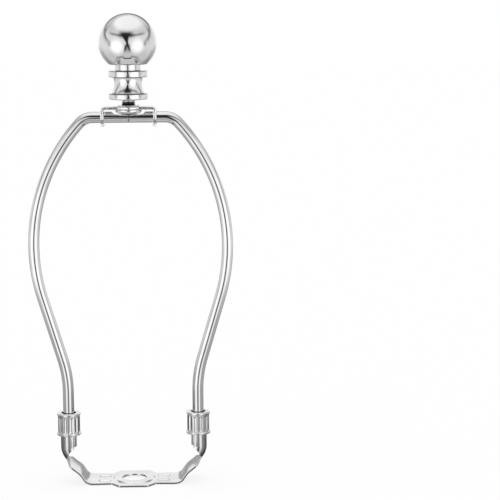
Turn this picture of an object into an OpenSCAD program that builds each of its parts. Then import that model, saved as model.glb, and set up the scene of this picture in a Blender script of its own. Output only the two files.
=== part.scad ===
// Detachable lamp harp: a bent wire bow on a stamped saddle, locked by two sliding ferrules,
// with a swivel stud and a ball finial at the top. The origin is the middle of the saddle's
// underside, +Z points up and the bow spreads along X. Millimetres.

/* [Wire bow] */
// Diameter of the bow's steel wire
wire_d = 5; // [4.4:0.1:5.2]
// Half width of the bow at its widest, to the wire's centre line
bow_half_w = 43.4; // [41:0.1:48]
// Radius of the long side curves
bow_r = 82; // [78:0.5:86]
// Height of the top run's centre line
top_z = 166.2; // [160:0.1:190]
// Drop from there to the bow's widest place
bow_drop = 57.8; // [54:0.1:62]
// Radius of the two top corners
corner_r = 8; // [6:0.5:12]
// Slope of the lower sides, from the vertical
side_slope = 16.6; // [14:0.1:19]
// Radius of the knees above the legs
knee_r = 52; // [44:1:60]
// Half distance between the two straight legs
leg_half_gap = 29.4; // [27:0.1:32]
// Depth of the flat pressed into the top run below the stud
top_flat_depth = 1.1; // [0.8:0.1:1.4]
// Length of that flat
top_flat_len = 15; // [13:0.5:17]
// Thickness of the flattened tongue at each foot
tongue_t = 3.4; // [2.8:0.1:3.6]
// Width of the tongue
tongue_w = 5.3; // [5:0.1:5.4]

/* [Saddle sheet] */
// Thickness of the saddle's steel sheet
sheet_t = 1; // [0.8:0.05:1.1]
// Diameter of the hole for the lamp nipple
hole_d = 11.1; // [10:0.1:13]
// Diameter of the round boss pressed up around the hole
boss_d = 18.4; // [16:0.1:19]
// Height of the boss
boss_h = 0.4; // [0.2:0.05:0.6]
// Width of the plate's middle, between its outer corners
plate_w = 20; // [19.5:0.1:22]
// Width of the plate's straight front and back edges
plate_edge_w = 13; // [10:0.1:16]
// Depth of the plate's middle
plate_depth = 25; // [22:0.1:28]
// Width of the sheet where the arms leave the plate
neck_w = 15.8; // [14.5:0.1:16.6]
// Width of the arms at their bend
arm_w = 16.8; // [16:0.1:17.6]
// Width of the waist between arm and socket
waist_w = 4.6; // [4:0.1:6]
// Distance between the two stiffening ribs of an arm
rib_spacing = 7.8; // [6:0.1:9]
// Width of a rib
rib_w = 1.5; // [1:0.1:2]
// Length of a rib, over its round ends
rib_len = 6; // [4:0.1:7]
// Height of a rib
rib_h = 0.45; // [0.2:0.05:0.6]
// Shift of the ribs from midway between boss and bend, towards the boss
rib_shift = 0.5; // [0.3:0.1:0.8]

/* [Saddle arms and sockets] */
// Bend radius at the foot of each arm, on the underside
foot_r = 4.5; // [3.5:0.1:6]
// Steepest slope of the arm above the foot bend
foot_slope = 57; // [50:1:62]
// Straight length after the foot bend
rise_len = 2.2; // [1.5:0.1:4]
// Radius that eases the arm outward again
ease_r = 8; // [6:0.5:11]
// Slope of the arm on its way to the waist
reach_slope = 38; // [33:1:43]
// Straight length before the waist
reach_len = 5.6; // [4.5:0.1:7]
// Radius of the scoop that turns up into the socket
scoop_r = 9; // [8.4:0.1:11]
// Outside diameter of the rolled socket
socket_od = 7.6; // [7.4:0.05:8.2]
// Height of the socket's upper end
socket_top_z = 31; // [28:0.1:34]
// Angle from the inward direction to the front edge of the socket's mouth
mouth_front_angle = 53; // [40:1:60]
// Angle from the inward direction to the back edge of the mouth
mouth_back_angle = 28; // [10:1:35]
// Length from the waist over which the socket's front flange slants out to full width
front_slant = 4.4; // [4:0.1:8]
// The same length for the back flange
back_slant = 4.1; // [4:0.1:8]
// Length from the straight reach over which the sheet takes the socket's full curve
roll_len = 3.6; // [3:0.1:8]

/* [Lock ferrules] */
// Outside diameter of the ferrule's body
ferrule_d = 10; // [9.9:0.05:11]
// Height of the ferrule
ferrule_h = 10.2; // [9:0.1:12]
// Diameter of the rounded upper rim
rim_d = 10.6; // [10.2:0.05:11.2]
// Height of the upper rim
rim_h = 1.3; // [1:0.1:1.6]
// Diameter of the rolled lower flange
flange_d = 11; // [10.4:0.05:11.8]
// Height of the lower flange
flange_h = 1.1; // [0.8:0.1:1.4]
// Thickness of the inward lip at the top
lip_t = 1; // [0.7:0.1:1.3]
// Play between the lip and the wire, on the radius
lip_play = 0.6; // [0.3:0.05:0.7]
// Play between the ferrule and the socket, on the radius
sleeve_play = 0.15; // [0.1:0.01:0.2]
// Number of pressed flutes
flute_count = 12; // [8:1:16]
// Radius of a flute
flute_r = 1.5; // [1:0.1:2]
// Depth of a flute
flute_depth = 0.35; // [0.2:0.05:0.45]
// Plain band between the flutes and the two rims
flute_band = 0.2; // [0.1:0.1:0.6]

/* [Swivel clip and stud] */
// Thickness of the clip's sheet
clip_t = 1.4; // [1:0.05:1.6]
// Half length of the clip, to the outside of its ears
clip_half = 12.4; // [11:0.1:13.5]
// Width of the clip across the wire
clip_w = 9; // [8.4:0.1:10]
// Diameter of the round seat around the stud
seat_d = 12.4; // [11:0.1:13]
// Outside radius of the folds above the ears
fold_r = 2; // [1.7:0.1:2.6]
// Gap between the wire and the clip's plate
clip_gap = 1; // [0.8:0.05:1.3]
// How far the ears reach below the wire before their tabs
ear_reach = 0.4; // [0.2:0.1:0.8]
// Width of the ear where it is closed below the wire
ear_tip_w = 3.8; // [3.4:0.1:4.6]
// Gap between the closed tips of an ear
ear_slit = 0.8; // [0.5:0.1:1.2]
// Length of the twisted tabs under the ears
tab_len = 1.2; // [0.8:0.1:1.8]
// Thickness of the tabs
tab_t = 1.1; // [0.8:0.05:1.1]
// Twist of the tabs
tab_twist = 30; // [10:1:40]
// Inward lean of the tabs
tab_lean = 28; // [10:1:32]
// How much more the back tab leans than the mean, and the front tab less
tab_spread = 16; // [0:1:18]
// Diameter of the collar pressed up around the stud
collar_d = 10.2; // [9:0.1:11]
// Height of that collar
collar_h = 0.5; // [0.3:0.05:0.8]
// Diameter of the threaded stud
stud_d = 6.35; // [6:0.05:6.6]
// Length of the stud above the clip's plate
stud_len = 10; // [9:0.1:11]
// Diameter of the stud's domed head
head_d = 12.1; // [11:0.1:12.6]
// Diameter of the flat in the middle of that dome
head_flat_d = 6.8; // [5:0.1:8]
// Bevel at the stud's tip
stud_bevel = 0.5; // [0.3:0.1:1]

/* [Finial] */
// Length of stud that shows below the finial
stud_show = 3; // [2:0.1:5]
// Diameter of the two turned rings
ring_d = 17.3; // [15:0.1:20]
// Height of the lower ring
low_ring_h = 2.6; // [2:0.1:3.5]
// Radius of the lower ring's bottom edge
low_ring_edge = 0.7; // [0.4:0.1:1.2]
// Height of the hollow spool between the rings
spool_h = 7.3; // [6:0.1:9]
// Diameter of the spool where it meets the lower ring
spool_foot_d = 14.8; // [13:0.1:16]
// Diameter of the spool's waist
spool_waist_d = 12.1; // [11:0.1:13]
// Height of the upper ring
high_ring_h = 2.8; // [2:0.1:3.5]
// Diameter of the neck below the ball
neck_d = 11.4; // [10:0.1:13]
// Height of the neck
neck_h = 2.8; // [2:0.1:4]
// Diameter of the ball
ball_d = 25.9; // [22:0.1:32]
// Diameter of the flat that the ball stands on
ball_flat_d = 17.4; // [14:0.1:19]
// Spare depth of the threaded hole when the finial is screwed down to the collar
tap_spare = 0.4; // [0.3:0.1:1]
// Diameter of the spigot that holds the ball
spigot_d = 5; // [4:0.1:6]
// Length of that spigot
spigot_len = 7; // [5:0.1:9]

/* [Hidden] */
$fn = 64;

// Play on the radius of turning pieces, above and below seats, around pressed pieces, at the
// end of a blind hole, and how far the tongues end below the sockets' straight part
turn_play = 0.06;
head_play = 0.1;
crimp_play = 0.05;
blind_gap = 0.5;
tongue_drop = 0.3;
// Extra length of every cut past the surface that it opens
cut = 1;

// The bow's centre line, worked out from its radii
wire_r = wire_d / 2;
bow_cx = bow_half_w - bow_r;
bow_z = top_z - bow_drop;
corner_cz = top_z - corner_r;
corner_cx = bow_cx + sqrt(pow(bow_r - corner_r, 2) - pow(corner_cz - bow_z, 2));
corner_end = atan2(corner_cz - bow_z, corner_cx - bow_cx);
side_top_x = bow_cx + bow_r * cos(side_slope);
side_top_z = bow_z - bow_r * sin(side_slope);
knee_x = leg_half_gap + knee_r * (1 - cos(side_slope));
side_len = (side_top_x - knee_x) / sin(side_slope);
knee_top_z = side_top_z - side_len * cos(side_slope);
knee_z = knee_top_z - knee_r * sin(side_slope);

// The right half of the bow as [length, bend radius, steps], from the middle of the top run
corner_len = corner_r * (90 - corner_end) * PI / 180;
bow_len = bow_r * (corner_end + side_slope) * PI / 180;
knee_len = knee_r * side_slope * PI / 180;
bow_segments = [
    [corner_cx, 0, 1],
    [corner_len, -corner_r, 6],
    [bow_len, -bow_r, 14],
    [side_len, 0, 1],
    [knee_len, knee_r, 5],
    [knee_z - socket_top_z, 0, 1]
];
round_len = corner_cx + corner_len + bow_len + side_len + knee_len + knee_z - socket_top_z;

// The path of one saddle arm on its underside, from the plate to the top of the socket
arm_dx = foot_r * sin(foot_slope) + rise_len * cos(foot_slope)
    + ease_r * (sin(foot_slope) - sin(reach_slope)) + reach_len * cos(reach_slope)
    + scoop_r * (1 - sin(reach_slope));
scoop_top_z = foot_r * (1 - cos(foot_slope)) + rise_len * sin(foot_slope)
    + ease_r * (cos(reach_slope) - cos(foot_slope)) + reach_len * sin(reach_slope)
    + scoop_r * cos(reach_slope);
arm_x = leg_half_gap + socket_od / 2 - arm_dx;
foot_len = foot_r * foot_slope * PI / 180;
ease_len = ease_r * (foot_slope - reach_slope) * PI / 180;
scoop_len = scoop_r * (90 - reach_slope) * PI / 180;
arm_segments = [
    [foot_len, foot_r, 5],
    [rise_len, 0, 1],
    [ease_len, -ease_r, 3],
    [reach_len, 0, 5],
    [scoop_len, scoop_r, 12],
    [socket_top_z - scoop_top_z, 0, 5]
];
reach_end = foot_len + rise_len + ease_len + reach_len;
scoop_end = reach_end + scoop_len;

// Half widths of the developed sheet along the path
roll_r = (socket_od - sheet_t) / 2;
front_reach = roll_r * (180 - mouth_front_angle) * PI / 180;
back_reach = roll_r * (180 - mouth_back_angle) * PI / 180;
notch_len = 1.6;
waist_s = reach_end + notch_len;
front_full_s = waist_s + front_slant;
back_full_s = waist_s + back_slant;
roll_full_s = reach_end + roll_len;
across = 20;
// The flat sheet is given this much roll, since the roll is divided by
least_roll = 0.0005;

// Heights of the clip, the stud and the finial
flat_z = top_z + wire_r - top_flat_depth;
plate_z = top_z + wire_r + clip_gap;
clip_top_z = plate_z + clip_t;
collar_top_z = clip_top_z + collar_h;
head_z = flat_z + head_play;
head_top_z = plate_z - head_play;
tip_z = top_z - wire_r - ear_reach;
finial_z = clip_top_z + stud_show;
spool_z = finial_z + low_ring_h;
high_ring_z = spool_z + spool_h;
neck_z = high_ring_z + high_ring_h;
ball_z = neck_z + neck_h;
ball_centre_z = ball_z + sqrt(pow(ball_d, 2) - pow(ball_flat_d, 2)) / 2;
tap_depth = stud_len - collar_h + tap_spare;

// The spool's hollow curve: how fast it leaves the foot, and how it widens again at its top
foot_bend = 2.6;
top_bend = 6;
top_widening = 0.35;

// Ferrules rest with their lips on the sockets
ferrule_z = socket_top_z + head_play + lip_t - ferrule_h;
tongue_z = scoop_top_z - tongue_drop;
press_len = 3;
wire_sides = 24;
tongue_segments = [
    [press_len, 0, 4],
    [socket_top_z - tongue_z - press_len, 0, 1]
];

function smooth(t) = let (u = min(max(t, 0), 1)) u * u * (3 - 2 * u);
function between(s, low, high) = smooth((s - low) / (high - low));

// One step of the path: [x, z, slope, length so far], with a radius of 0 for a straight
function step_on(p, len, r) =
    r == 0
    ? [p[0] + len * cos(p[2]), p[1] + len * sin(p[2]), p[2], p[3] + len]
    : let (turn = len / r * 180 / PI)
      [p[0] + r * (sin(p[2] + turn) - sin(p[2])), p[1] - r * (cos(p[2] + turn) - cos(p[2])),
       p[2] + turn, p[3] + len];

// Where each segment of a path starts, and the stations along all of them
function segment_start(start, segments, i) =
    i == 0 ? start
    : step_on(segment_start(start, segments, i - 1), segments[i - 1][0], segments[i - 1][1]);
function stations(start, segments) = [
    start,
    for (i = [0 : len(segments) - 1])
        let (seg = segments[i], from = segment_start(start, segments, i))
        for (k = [1 : seg[2]]) step_on(from, seg[0] * k / seg[2], seg[1])
];

// Half width of the sheet at a length s, for an edge that reaches its full width
// at full_s: a smooth notch down to the waist, then a straight slanting flange
function half_width(s, full, full_s) =
    s < waist_s
    ? arm_w / 2 + (waist_w - arm_w) / 2 * between(s, reach_end - notch_len, waist_s)
    : waist_w / 2 + (full - waist_w / 2) * min((s - waist_s) / (full_s - waist_s), 1);

// Point q mm off the sheet's middle at station p, on its outer (side -1) or inner (1) face
function sheet_point(p, q, side) =
    let (
        roll = max(between(p[3], reach_end, roll_full_s), least_roll) / roll_r,
        turn = q * roll * 180 / PI,
        y = sin(turn) / roll - side * sheet_t / 2 * sin(turn),
        n = sheet_t / 2 + (1 - cos(turn)) / roll + side * sheet_t / 2 * cos(turn)
    )
    [p[0] - n * sin(p[2]), y, p[1] + n * cos(p[2])];

function sheet_row(p, side) =
    let (
        front = half_width(p[3], front_reach, front_full_s),
        back = half_width(p[3], back_reach, back_full_s)
    )
    [for (j = [0 : across]) sheet_point(p, -front + (front + back) * j / across, side)];

module pressed_plate() {
    linear_extrude(sheet_t) polygon([
        [arm_x, arm_w / 2], [plate_w / 2, neck_w / 2], [plate_edge_w / 2, plate_depth / 2],
        [-plate_edge_w / 2, plate_depth / 2], [-plate_w / 2, neck_w / 2], [-arm_x, arm_w / 2],
        [-arm_x, -arm_w / 2], [-plate_w / 2, -neck_w / 2], [-plate_edge_w / 2, -plate_depth / 2],
        [plate_edge_w / 2, -plate_depth / 2], [plate_w / 2, -neck_w / 2], [arm_x, -arm_w / 2]
    ]);
}

// Straight bead with round ends, centred at the origin
module bead(length, width, height) {
    linear_extrude(height) {
        square([length - width, width], center = true);
        for (side = [-1, 1]) translate([side * (length - width) / 2, 0]) circle(d = width);
    }
}

module each_rib() {
    rib_x = (boss_d / 2 + arm_x) / 2 - rib_shift;
    for (side = [-1, 1], row = [-1, 1])
        translate([side * rib_x, row * rib_spacing / 2, 0]) children();
}

// Sheet of one arm, lofted from the flat through the waist into the rolled socket
module arm_and_socket() {
    path = stations([arm_x, 0, 0, 0], arm_segments);
    rows = len(path);
    cols = across + 1;
    outer = [for (p = path) each sheet_row(p, -1)];
    inner = [for (p = path) each sheet_row(p, 1)];
    half = rows * cols;
    faces = [
        for (i = [0 : rows - 2], j = [0 : across - 1])
            let (a = i * cols + j, b = a + 1, c = a + cols, d = c + 1)
            each [
                [a, c, b], [b, c, d],
                [half + a, half + b, half + c], [half + b, half + d, half + c]
            ],
        for (i = [0 : rows - 2])
            let (a = i * cols, c = a + cols, b = a + across, d = b + cols)
            each [
                [a, half + a, c], [c, half + a, half + c],
                [b, d, half + b], [d, half + d, half + b]
            ],
        for (j = [0 : across - 1])
            let (a = j, b = j + 1, c = (rows - 1) * cols + j, d = c + 1)
            each [
                [a, b, half + a], [b, half + b, half + a],
                [c, half + c, d], [d, half + c, half + d]
            ]
    ];
    polyhedron(points = concat(outer, inner), faces = faces, convexity = 6);
}

module saddle() {
    color("silver") difference() {
        union() {
            pressed_plate();
            cylinder(d = boss_d, h = sheet_t + boss_h);
            each_rib() bead(rib_len, rib_w, sheet_t + rib_h);
            arm_and_socket();
            mirror([1, 0, 0]) arm_and_socket();
        }
        translate([0, 0, -cut]) cylinder(d = hole_d, h = sheet_t + boss_h + 2 * cut);
        translate([0, 0, -cut]) cylinder(d = boss_d - sheet_t, h = boss_h + cut);
        translate([0, 0, -cut]) each_rib() bead(rib_len - rib_w / 2, rib_w / 2, rib_h + cut);
    }
}

// Ring of points around the wire at station p, round above and flattened in the tongue.
// The flattened section is turned to slip in through the socket's mouth.
function wire_ring(p) =
    let (
        flat = between(p[3], round_len, round_len + press_len),
        half_t = wire_r + (tongue_t / 2 - wire_r) * flat,
        half_w = wire_r + (tongue_w / 2 - wire_r) * flat,
        turn = (mouth_front_angle - mouth_back_angle) / 2
    )
    [for (k = [0 : wire_sides - 1])
        let (
            a = 360 * k / wire_sides,
            u = max(-half_t, min(half_t, half_w * cos(a))),
            v = half_w * sin(a),
            y = u * cos(turn) - v * sin(turn),
            n = v * cos(turn) + u * sin(turn)
        )
        [p[0] - n * sin(p[2]), y, p[1] + n * cos(p[2])]
    ];

// The whole bow as one tube, from the left foot over the top to the right foot
module bow_tube() {
    right = [for (p = stations([0, top_z, 0, 0], concat(bow_segments, tongue_segments)))
        wire_ring(p)];
    last = len(right) - 1;
    left = [for (i = [last : -1 : 1]) [for (q = right[i]) [-q[0], q[1], q[2]]]];
    rings = concat(left, right);
    count = len(rings);
    polyhedron(
        points = [for (ring = rings) each ring],
        faces = [
            [for (k = [wire_sides - 1 : -1 : 0]) k],
            for (i = [0 : count - 2], k = [0 : wire_sides - 1])
                let (a = i * wire_sides + k, b = i * wire_sides + (k + 1) % wire_sides)
                each [[a, b, a + wire_sides], [b, b + wire_sides, a + wire_sides]],
            [for (k = [0 : wire_sides - 1]) (count - 1) * wire_sides + k]
        ],
        convexity = 6
    );
}

module harp_wire() {
    color("gainsboro") difference() {
        bow_tube();
        translate([-top_flat_len / 2, -wire_d, flat_z]) cube([top_flat_len, 2 * wire_d, wire_d]);
    }
}

module ferrule() {
    body_r = ferrule_d / 2;
    rim_r = rim_d / 2;
    flange_r = flange_d / 2;
    sleeve_r = socket_od / 2 + sleeve_play;
    lip_r = wire_r + lip_play;
    edge = rim_h / 2;
    fold = flange_h / 2;
    difference() {
        rotate_extrude() difference() {
            union() {
                square([body_r, ferrule_h - edge]);
                square([flange_r - fold, flange_h]);
                translate([flange_r - fold, fold]) circle(r = fold);
                translate([0, ferrule_h - rim_h]) square([rim_r - edge, rim_h]);
                translate([rim_r - edge, ferrule_h - edge]) circle(r = edge);
            }
            translate([0, -cut]) square([sleeve_r, ferrule_h - lip_t + cut]);
            square([lip_r, ferrule_h + cut]);
        }
        for (i = [0 : flute_count - 1]) rotate([0, 0, (i + 0.5) * 360 / flute_count])
            translate([body_r + flute_r - flute_depth, 0, flange_h + flute_band])
                cylinder(r = flute_r, h = ferrule_h - rim_h - flange_h - 2 * flute_band);
    }
}

module left_ferrule() {
    color("lightgray") translate([-leg_half_gap, 0, ferrule_z]) ferrule();
}

module right_ferrule() {
    color("lightgray") translate([leg_half_gap, 0, ferrule_z]) ferrule();
}

// Bar with round upper corners, seen from the front
module round_topped(half, low, high, r) {
    translate([-half, low]) square([2 * half, high - r - low]);
    translate([r - half, low]) square([2 * (half - r), high - low]);
    for (side = [-1, 1]) translate([side * (half - r), high - r]) circle(r = r);
}

module folded_strap() {
    rotate([90, 0, 0]) linear_extrude(clip_w, center = true) difference() {
        round_topped(clip_half, tip_z, clip_top_z, fold_r);
        round_topped(clip_half - clip_t, tip_z - cut, plate_z, fold_r - clip_t);
    }
}

// Side view of the strap, narrowing below the wire
module ear_outline() {
    shoulder_z = top_z - wire_r / 3;
    rotate([90, 0, 90]) linear_extrude(2 * clip_half + 2 * cut, center = true) polygon([
        [clip_w / 2, clip_top_z], [clip_w / 2, shoulder_z], [ear_tip_w / 2, tip_z],
        [-ear_tip_w / 2, tip_z], [-clip_w / 2, shoulder_z], [-clip_w / 2, clip_top_z]
    ]);
}

module twisted_tabs() {
    tab_w = (ear_tip_w - ear_slit) / 2;
    tab_y = (ear_tip_w + ear_slit) / 4;
    root = tab_w / 4;
    for (side = [-1, 1], prong = [-1, 1])
        translate([side * (clip_half - clip_t / 2), prong * tab_y, tip_z])
            rotate([0, side * (tab_lean + prong * tab_spread), -side * prong * tab_twist])
                translate([0, 0, (root - tab_len) / 2])
                    cube([tab_t, tab_w, tab_len + root], center = true);
}

module swivel_clip() {
    color("whitesmoke") difference() {
        union() {
            intersection() {
                folded_strap();
                ear_outline();
            }
            translate([0, 0, plate_z]) cylinder(d = seat_d, h = clip_t);
            translate([0, 0, clip_top_z]) cylinder(d = collar_d, h = collar_h);
            twisted_tabs();
        }
        translate([0, 0, plate_z - cut])
            cylinder(d = stud_d + 4 * turn_play, h = clip_t + collar_h + 2 * cut);
        translate([-clip_half - cut, 0, top_z]) rotate([0, 90, 0])
            cylinder(r = wire_r + crimp_play, h = 2 * (clip_half + cut));
        translate([-clip_half - cut, -ear_slit / 2, tip_z - tab_len - cut])
            cube([2 * (clip_half + cut), ear_slit, top_z - tip_z + tab_len + cut]);
    }
}

module stud() {
    head_r = head_d / 2;
    dome_h = head_top_z - head_z;
    rim = dome_h / 4;
    flat_r = head_flat_d / 2;
    stud_top_z = clip_top_z + stud_len;
    color("dimgray") rotate_extrude() polygon([
        [0, head_z], [flat_r, head_z],
        for (k = [1 : 6]) let (u = k / 6)
            [flat_r + (head_r - flat_r) * sin(90 * u), head_z + (dome_h - rim) * (1 - cos(90 * u))],
        [head_r, head_top_z], [stud_d / 2, head_top_z],
        [stud_d / 2, stud_top_z - stud_bevel], [stud_d / 2 - stud_bevel, stud_top_z], [0, stud_top_z]
    ]);
}

// Hollow curve of the spool, from the lower ring to the upper one
function spool_side(u) = spool_waist_d / 2
    + (spool_foot_d - spool_waist_d) / 2 * pow(1 - u, foot_bend) + top_widening * pow(u, top_bend);

module finial_base() {
    ring_r = ring_d / 2;
    edge = low_ring_edge;
    color("silver") difference() {
        rotate_extrude() {
            translate([0, finial_z + edge]) square([ring_r, low_ring_h - edge]);
            translate([0, finial_z]) square([ring_r - edge, edge]);
            translate([ring_r - edge, finial_z + edge]) circle(r = edge);
            polygon([
                [0, spool_z],
                for (k = [0 : 12]) [spool_side(k / 12), spool_z + spool_h * k / 12],
                [0, high_ring_z]
            ]);
            translate([0, high_ring_z]) square([ring_r, high_ring_h]);
            translate([0, neck_z]) square([neck_d / 2, neck_h]);
            translate([0, ball_z]) square([spigot_d / 2, spigot_len]);
        }
        translate([0, 0, finial_z - cut])
            cylinder(d = stud_d + 2 * turn_play, h = tap_depth + cut);
    }
}

module finial_ball() {
    color("silver") difference() {
        translate([0, 0, ball_centre_z]) sphere(d = ball_d);
        translate([-ball_d, -ball_d, ball_z - ball_d]) cube([2 * ball_d, 2 * ball_d, ball_d]);
        translate([0, 0, ball_z - cut])
            cylinder(d = spigot_d + 2 * crimp_play, h = spigot_len + blind_gap + cut);
    }
}

harp_wire();
left_ferrule();
right_ferrule();
saddle();
swivel_clip();
stud();
finial_base();
finial_ball();
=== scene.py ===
import math

import bpy
from mathutils import Matrix, Vector


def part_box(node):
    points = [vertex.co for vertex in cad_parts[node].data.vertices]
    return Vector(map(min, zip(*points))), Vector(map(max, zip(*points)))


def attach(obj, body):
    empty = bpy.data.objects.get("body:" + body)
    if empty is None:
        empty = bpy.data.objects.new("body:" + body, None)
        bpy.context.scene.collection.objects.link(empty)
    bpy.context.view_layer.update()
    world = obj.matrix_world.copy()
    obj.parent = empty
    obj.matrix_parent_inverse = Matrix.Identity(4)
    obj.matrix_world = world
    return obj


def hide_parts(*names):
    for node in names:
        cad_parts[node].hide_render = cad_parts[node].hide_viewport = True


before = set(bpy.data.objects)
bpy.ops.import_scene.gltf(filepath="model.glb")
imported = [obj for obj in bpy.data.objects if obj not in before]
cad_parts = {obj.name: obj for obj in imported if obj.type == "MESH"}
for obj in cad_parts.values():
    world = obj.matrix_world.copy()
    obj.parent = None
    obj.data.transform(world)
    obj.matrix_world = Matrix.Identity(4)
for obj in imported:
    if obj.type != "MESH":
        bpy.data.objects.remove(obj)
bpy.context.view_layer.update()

mm = 0.001


# Small helpers for all pieces, in millimetres

def smoothStep(value, low, high):
    t = min(max((value - low) / (high - low), 0), 1)
    return t * t * (3 - 2 * t)


def nodeRange(node, axis):
    low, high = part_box(node)
    return low[axis] / mm, high[axis] / mm


def newPiece(name, points, faces, body, material, nodes):
    mesh = bpy.data.meshes.new(name)
    mesh.from_pydata([[c * mm for c in p] for p in points], [], faces)
    mesh.validate()
    mesh.shade_smooth()
    mesh.materials.append(material)
    piece = bpy.data.objects.new(name, mesh)
    bpy.context.collection.objects.link(piece)
    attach(piece, body)
    if nodes:
        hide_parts(*nodes)
    return piece


def weightNormals(piece):
    # flats stay flat where a rounded edge meets them
    modifier = piece.modifiers.new("flat faces", "WEIGHTED_NORMAL")
    modifier.mode = "FACE_AREA"
    modifier.weight = 80
    modifier.keep_sharp = True


def gridFaces(rows, cols, closeRows=False, closeCols=False):
    faces = []
    for i in range(rows if closeRows else rows - 1):
        for j in range(cols if closeCols else cols - 1):
            a, b = i * cols + j, i * cols + (j + 1) % cols
            k = (i + 1) % rows
            faces.append((a, b, k * cols + (j + 1) % cols, k * cols + j))
    return faces


def weld(points, faces, grain=0.002):
    # joins points that fall together, and drops faces that shrink to a line
    seen, index, kept = {}, [], []
    for p in points:
        key = tuple(round(c / grain) for c in p[:3])
        if key not in seen:
            seen[key] = len(kept)
            kept.append(p)
        index.append(seen[key])
    joined = []
    for face in faces:
        ring = []
        for i in face:
            if index[i] not in ring:
                ring.append(index[i])
        if len(ring) > 2:
            joined.append(tuple(ring))
    return kept, joined


def addPart(points, faces, morePoints, moreFaces, flip):
    # adds a part to a piece, with its faces turned over where flip is true
    start = len(points)
    points.extend(morePoints)
    for face in moreFaces:
        ring = tuple(start + i for i in face)
        faces.append(tuple(reversed(ring)) if flip else ring)


# Turned pieces: an outline of [radius, height, fillet] corners spun round the Z axis

def filletOutline(corners, steps=6, closed=False):
    outline = []
    count = len(corners)
    for i, (r, z, fillet) in enumerate(corners):
        here = Vector((r, z))
        if fillet == 0 or (not closed and i in (0, count - 1)):
            outline.append((r, z))
            continue
        back = (Vector(corners[i - 1][:2]) - here).normalized()
        ahead = (Vector(corners[(i + 1) % count][:2]) - here).normalized()
        half = back.angle(ahead) / 2
        centre = here + (back + ahead).normalized() * fillet / math.sin(half)
        start = here + back * fillet / math.tan(half) - centre
        end = here + ahead * fillet / math.tan(half) - centre
        turn = start.angle_signed(end)
        for k in range(steps + 1):
            spoke = Matrix.Rotation(-turn * k / steps, 2) @ start
            outline.append(tuple(centre + spoke))
    return outline


def splitOutline(outline, gap, closed=False):
    fine = []
    for i, p in enumerate(outline):
        fine.append(p)
        if i == len(outline) - 1 and not closed:
            break
        q = outline[(i + 1) % len(outline)]
        pieces = math.ceil(math.dist(p, q) / gap)
        for k in range(1, pieces):
            fine.append((p[0] + (q[0] - p[0]) * k / pieces, p[1] + (q[1] - p[1]) * k / pieces))
    return fine


def spin(outline, sides, centre=(0, 0), shape=None, closed=False):
    points = []
    for r, z in outline:
        for k in range(sides):
            angle = 2 * math.pi * k / sides
            radius = shape(r, z, angle) if shape else r
            points.append((centre[0] + radius * math.cos(angle), centre[1] + radius * math.sin(angle), z))
    return weld(points, gridFaces(len(outline), sides, closed, True))


# Pressed sheet: a middle surface of [x, y, z, nx, ny, nz, upper, lower], thickened both ways

def thicken(points, faces):
    points, faces = weld(points, faces)
    count = len(points)
    upper = [tuple(p[i] + p[3 + i] * p[6] for i in range(3)) for p in points]
    lower = [tuple(p[i] - p[3 + i] * p[7] for i in range(3)) for p in points]
    edges = {}
    for face in faces:
        for a, b in zip(face, face[1:] + face[:1]):
            edges[(a, b)] = True
    rim = [(b, a, a + count, b + count) for a, b in edges if (b, a) not in edges]
    under = [tuple(i + count for i in reversed(face)) for face in faces]
    return upper + lower, faces + under + rim


def edgeThickness(half, radius, toEdge):
    # half thickness near an edge that is rounded by radius
    if toEdge >= radius:
        return half
    return half - radius + math.sqrt(max(radius ** 2 - (radius - toEdge) ** 2, 0))


def between(low, high, cells):
    return [low + (high - low) * k / cells for k in range(cells + 1)]


def acrossSheet(low, high, cells, edges=(0, 0.03, 0.08, 0.15, 0.25)):
    # places from low to high, close together at both edges
    inner = edges[-1]
    middle = between(low + inner, high - inner, cells)[1:-1]
    return [low + e for e in edges] + middle + [high - e for e in reversed(edges)]


# Materials

def newGroup(name, given, made):
    # a shader node group, with the kind and first value of each input and the kind of each output
    group = bpy.data.node_groups.new(name, "ShaderNodeTree")
    for label, (kind, value) in given.items():
        socket = group.interface.new_socket(name=label, in_out="INPUT", socket_type="NodeSocket" + kind)
        socket.default_value = value
    for label, kind in made.items():
        group.interface.new_socket(name=label, in_out="OUTPUT", socket_type="NodeSocket" + kind)
    inputs, outputs = group.nodes.new("NodeGroupInput"), group.nodes.new("NodeGroupOutput")
    return group, inputs.outputs, outputs.inputs


def connect(tree, item, socket):
    # item is a value or another socket
    if isinstance(item, (int, float, tuple)):
        socket.default_value = item
    else:
        tree.links.new(item, socket)


def addNode(tree, kind, values, result=0, operation=None):
    # values go to inputs by name or number, and the output named result comes back
    node = tree.nodes.new(kind)
    if operation:
        node.operation = operation
    for name, item in values.items():
        connect(tree, item, node.inputs[name])
    return node.outputs[result]


def addMath(tree, operation, *items):
    return addNode(tree, "ShaderNodeMath", dict(enumerate(items)), 0, operation)


def addStep(tree, value, low, high, before=0, after=1, kind="SMOOTHSTEP"):
    # step from before to after, between low and high
    node = tree.nodes.new("ShaderNodeMapRange")
    node.interpolation_type = kind
    names = ("Value", "From Min", "From Max", "To Min", "To Max")
    for name, item in zip(names, (value, low, high, before, after)):
        connect(tree, item, node.inputs[name])
    return node.outputs["Result"]


def addMix(tree, factor, a, b, colours=False):
    # a where the factor is 0, b where it is 1
    node = tree.nodes.new("ShaderNodeMix")
    node.data_type = "RGBA" if colours else "FLOAT"
    first, second, result = (6, 7, 2) if colours else (2, 3, 0)
    connect(tree, factor, node.inputs[0])
    connect(tree, a, node.inputs[first])
    connect(tree, b, node.inputs[second])
    return node.outputs[result]


def addGroup(tree, group, values):
    node = tree.nodes.new("ShaderNodeGroup")
    node.node_tree = group
    for name, value in values.items():
        node.inputs[name].default_value = value
    return node.outputs


def objectPlace(tree):
    return addNode(tree, "ShaderNodeTexCoord", {}, "Object")


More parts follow.
